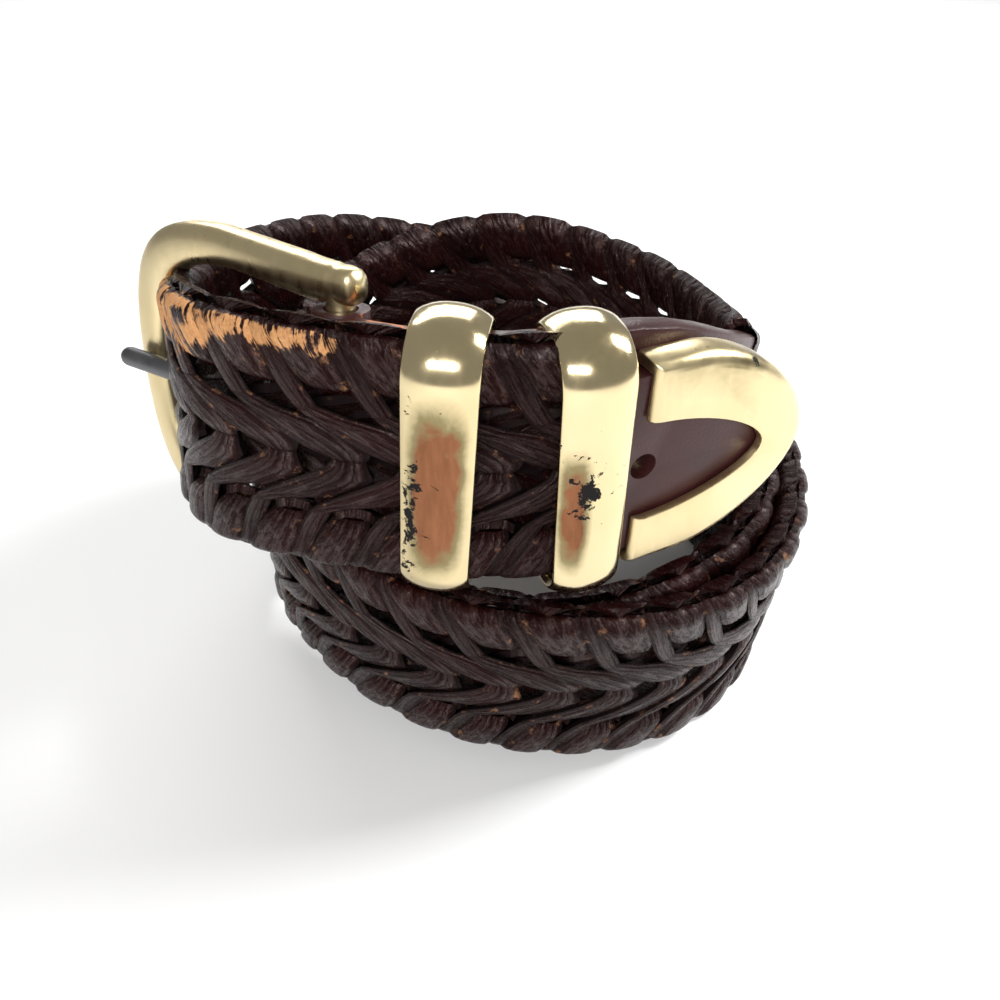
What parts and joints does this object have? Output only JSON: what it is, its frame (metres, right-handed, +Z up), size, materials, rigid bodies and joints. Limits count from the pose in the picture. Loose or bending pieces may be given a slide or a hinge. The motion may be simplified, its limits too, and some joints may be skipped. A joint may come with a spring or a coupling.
{
  "type": "braided belt",
  "caption": "Braided leather belt, fastened and rolled on its edge: V-weave strap, smooth tab, horseshoe buckle with prong, two metal keepers and an openwork pointed tip",
  "frame": {"origin": "middle of the footprint, on the surface the roll stands on", "axes": "+Z up, the way the roll stands; the free end with its keepers and tip faces -Y, and the buckle's crown points to -X"},
  "size_m": [0.1088, 0.1042, 0.0784],
  "materials": {
    "braided_leather": "semi-gloss dyed leather strands, nearly black oxblood, worn to tan at the upper edge",
    "smooth_leather": "semi-gloss smooth leather, dark oxblood brown",
    "gold_plating": "polished pale gold plating on zinc, chipped and tarnished",
    "dark_metal": "dull dark grey metal"
  },
  "bodies": {
    "root": {"braided_strap": "braided_leather", "buckle_tab": "smooth_leather", "tip_tab": "smooth_leather", "buckle_frame": "gold_plating", "prong": "dark_metal", "keeper_1": "gold_plating", "keeper_2": "gold_plating", "tip_cap": "gold_plating"}
  },
  "joints": []
}
